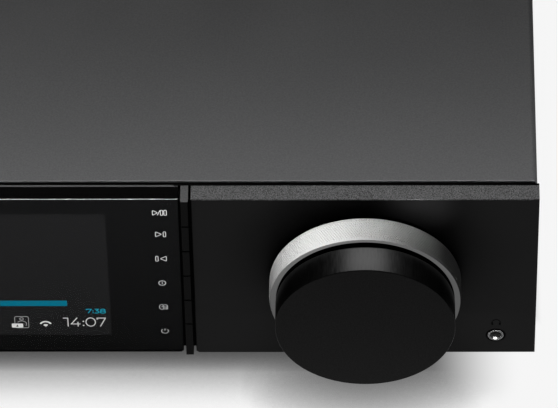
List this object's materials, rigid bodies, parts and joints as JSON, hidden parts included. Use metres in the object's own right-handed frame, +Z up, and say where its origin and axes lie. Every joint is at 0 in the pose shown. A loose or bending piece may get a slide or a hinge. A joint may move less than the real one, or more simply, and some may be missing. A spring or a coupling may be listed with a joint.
{
  "type": "network audio player",
  "caption": "Low black hi-fi player with a glass display window, a column of slim keys, a large knob with a knurled ring, and rear sockets.",
  "frame": {"origin": "centre of the outer box, on the surface that the feet stand on", "axes": "+X to the right seen from the front, +Y to the back, +Z up"},
  "size_m": [0.317, 0.352, 0.089],
  "materials": {
    "base_zinc": "zinc-plated sheet",
    "cover_paint": "fine textured dark grey paint",
    "black_screws": "black oxide",
    "rear_paint": "fine textured black paint",
    "subframe_alloy": "satin",
    "fascia_alloy": "black anodised, bead blasted top edge",
    "feet_plastic": "fine spark texture",
    "pad_rubber": "matt",
    "steel_screws": "zinc plated",
    "lens_glass": "polished",
    "carrier_plastic": "black moulding",
    "screen_glass": "dark liquid crystal cell",
    "tray_steel": "plated sheet",
    "inner_plastic": "moulded",
    "board_laminate": "green solder resist",
    "knob_alloy": "black anodised, fine blasted",
    "shaft_brass": "turned",
    "ring_alloy": "knurled, clear anodised",
    "hub_plastic": "moulded",
    "plated_metal": "nickel plated",
    "socket_plastic": "moulded",
    "chip_plastic": "moulded epoxy",
    "shield_can": "tin plated",
    "ferrite": "ferrite and yellow tape",
    "sink_alloy": "extruded",
    "capacitor_sleeve": "shrink sleeve with bare aluminium top",
    "rocker_plastic": "moulded",
    "gold_plate": "gold plated",
    "phono_plate": "gold plated barrels in black housings",
    "wire_sleeve": "insulated wire",
    "ribbon_film": "white film",
    "key_plastic": "moulded, satin",
    "cap_red": "moulded",
    "cap_black": "moulded"
  },
  "bodies": {
    "root": {"base_pan": "base_zinc", "top_cover": "cover_paint", "case_screws": "black_screws", "rear_panel": "rear_paint", "front_subframe": "subframe_alloy", "fascia": "fascia_alloy", "feet": "feet_plastic", "foot_pads": "pad_rubber", "foot_screws": "steel_screws", "display_lens": "lens_glass", "lens_carrier": "carrier_plastic", "lcd_cell": "screen_glass", "lcd_tray": "tray_steel", "key_guide": "inner_plastic", "key_switches": "inner_plastic", "key_board": "board_laminate", "dual_encoder": "tray_steel", "encoder_nut": "shaft_brass", "control_board": "board_laminate", "headphone_bezel": "plated_metal", "headphone_socket": "socket_plastic", "main_board": "board_laminate", "main_board_chips": "chip_plastic", "network_module": "shield_can", "power_board": "board_laminate", "power_transformer": "ferrite", "power_heatsink": "sink_alloy", "capacitors": "capacitor_sleeve", "heat_spreader": "sink_alloy", "amplifier_modules": "board_laminate", "standoffs": "shaft_brass", "board_screws": "steel_screws", "mains_inlet": "socket_plastic", "switch_frame": "socket_plastic", "terminal_bases": "socket_plastic", "terminal_studs": "gold_plate", "phono_sockets": "phono_plate", "optical_socket": "socket_plastic", "network_socket": "shield_can", "usb_socket": "shield_can", "aerial_sockets": "gold_plate", "wiring_harness": "wire_sleeve", "display_ribbon": "ribbon_film"},
    "volume": {"volume_knob": "knob_alloy", "volume_shaft": "shaft_brass"},
    "selector": {"selector_ring": "ring_alloy", "selector_hub": "hub_plastic", "selector_shaft": "shaft_brass"},
    "rocker": {"mains_rocker": "rocker_plastic"},
    "shutter": {"optical_shutter": "socket_plastic"},
    "key_play_pause_body": {"key_play_pause": "key_plastic"},
    "key_next_body": {"key_next": "key_plastic"},
    "key_previous_body": {"key_previous": "key_plastic"},
    "key_info_body": {"key_info": "key_plastic"},
    "key_output_body": {"key_output": "key_plastic"},
    "key_standby_body": {"key_standby": "key_plastic"},
    "cap_right_minus": {"terminal_cap_right_minus": "cap_black"},
    "cap_right_plus": {"terminal_cap_right_plus": "cap_red"},
    "cap_left_minus": {"terminal_cap_left_minus": "cap_black"},
    "cap_left_plus": {"terminal_cap_left_plus": "cap_red"}
  },
  "joints": [
    {"name": "volume_turn", "type": "hinge", "parent": "root", "child": "volume", "pos_m": [0.10215, -0.16, 0.05], "axis": [0, 1, 0], "continuous": true},
    {"name": "selector_turn", "type": "hinge", "parent": "root", "child": "selector", "pos_m": [0.10215, -0.16, 0.05], "axis": [0, 1, 0], "continuous": true},
    {"name": "key_play_pause_press", "type": "slide", "parent": "root", "child": "key_play_pause_body", "axis": [0, 1, 0], "range_m": [0, 0.0005], "stiffness_N_per_m": 1500},
    {"name": "key_next_press", "type": "slide", "parent": "root", "child": "key_next_body", "axis": [0, 1, 0], "range_m": [0, 0.0005], "stiffness_N_per_m": 1500},
    {"name": "key_previous_press", "type": "slide", "parent": "root", "child": "key_previous_body", "axis": [0, 1, 0], "range_m": [0, 0.0005], "stiffness_N_per_m": 1500},
    {"name": "key_info_press", "type": "slide", "parent": "root", "child": "key_info_body", "axis": [0, 1, 0], "range_m": [0, 0.0005], "stiffness_N_per_m": 1500},
    {"name": "key_output_press", "type": "slide", "parent": "root", "child": "key_output_body", "axis": [0, 1, 0], "range_m": [0, 0.0005], "stiffness_N_per_m": 1500},
    {"name": "key_standby_press", "type": "slide", "parent": "root", "child": "key_standby_body", "axis": [0, 1, 0], "range_m": [0, 0.0005], "stiffness_N_per_m": 1500},
    {"name": "cap_right_minus_turn", "type": "hinge", "parent": "root", "child": "cap_right_minus", "pos_m": [0.08248, 0.168, 0.046], "axis": [0, 1, 0], "range_deg": [-900, 0]},
    {"name": "cap_right_plus_turn", "type": "hinge", "parent": "root", "child": "cap_right_plus", "pos_m": [0.10153, 0.168, 0.046], "axis": [0, 1, 0], "range_deg": [-900, 0]},
    {"name": "cap_left_minus_turn", "type": "hinge", "parent": "root", "child": "cap_left_minus", "pos_m": [0.12248, 0.168, 0.046], "axis": [0, 1, 0], "range_deg": [-900, 0]},
    {"name": "cap_left_plus_turn", "type": "hinge", "parent": "root", "child": "cap_left_plus", "pos_m": [0.14153, 0.168, 0.046], "axis": [0, 1, 0], "range_deg": [-900, 0]},
    {"name": "mains_rock", "type": "hinge", "parent": "root", "child": "rocker", "pos_m": [-0.09, 0.153, 0.046], "axis": [1, 0, 0], "range_deg": [-16, 0]},
    {"name": "shutter_swing", "type": "hinge", "parent": "root", "child": "shutter", "pos_m": [-0.012, 0.1557, 0.0299], "axis": [1, 0, 0], "range_deg": [-80, 0]}
  ]
}
